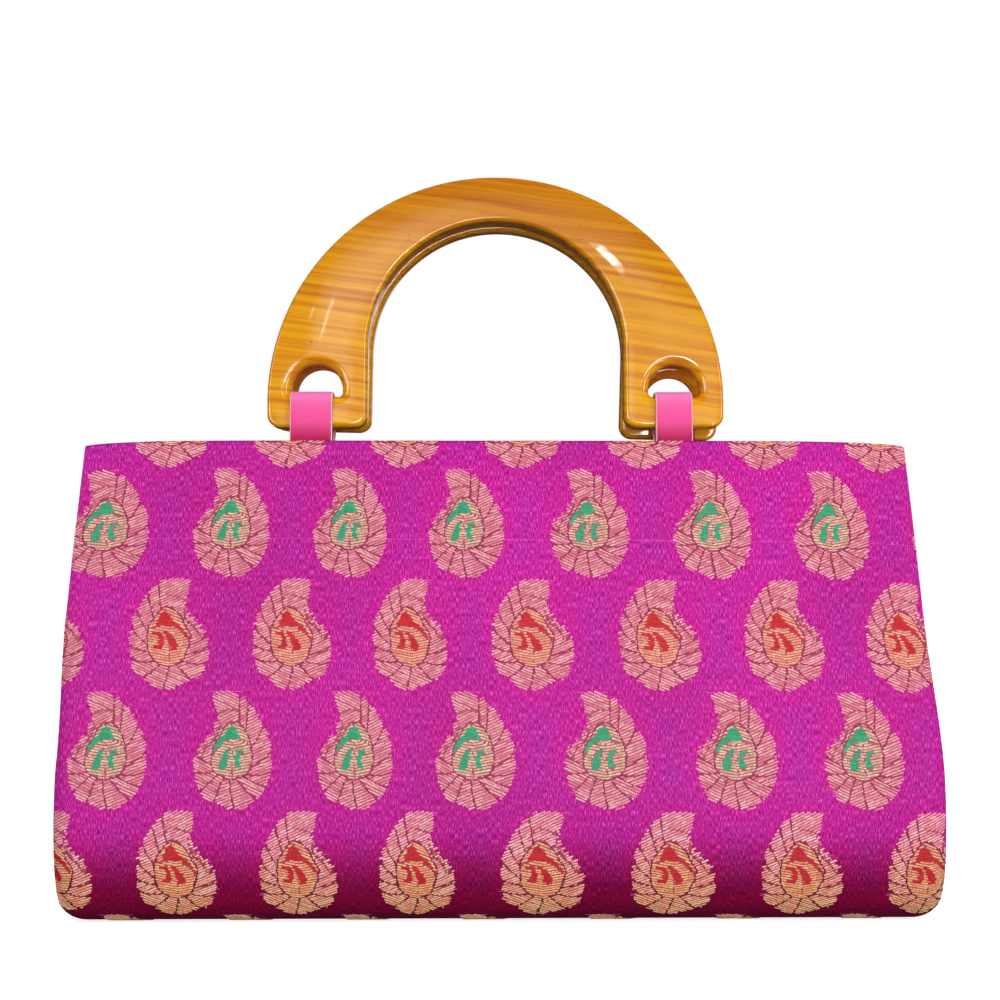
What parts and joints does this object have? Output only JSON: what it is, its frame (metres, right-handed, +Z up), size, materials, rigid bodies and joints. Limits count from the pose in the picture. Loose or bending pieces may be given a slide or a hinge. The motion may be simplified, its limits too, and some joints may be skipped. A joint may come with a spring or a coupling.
{
  "type": "purse",
  "caption": "Stiff brocade purse with an open top, rounded base and creased side gussets, carried by arched lacquered handles on short strap loops.",
  "frame": {"origin": "on the ground, under the middle of the purse's base", "axes": "+X to the right across the front, +Y from the front to the back, +Z up"},
  "size_m": [0.2826, 0.0774, 0.2474],
  "materials": {
    "brocade": "magenta silk brocade with woven paisley motifs",
    "side_cloth": "magenta silk brocade",
    "lacquered_handle": "amber wood grain under gloss lacquer",
    "strap_leatherette": "pink leatherette"
  },
  "bodies": {
    "root": {"brocade_wrap": "brocade", "gusset_left": "side_cloth", "gusset_right": "side_cloth", "handle_front": "lacquered_handle", "handle_back": "lacquered_handle", "strap_front_left": "strap_leatherette", "strap_front_right": "strap_leatherette", "strap_back_left": "strap_leatherette", "strap_back_right": "strap_leatherette"}
  },
  "joints": []
}
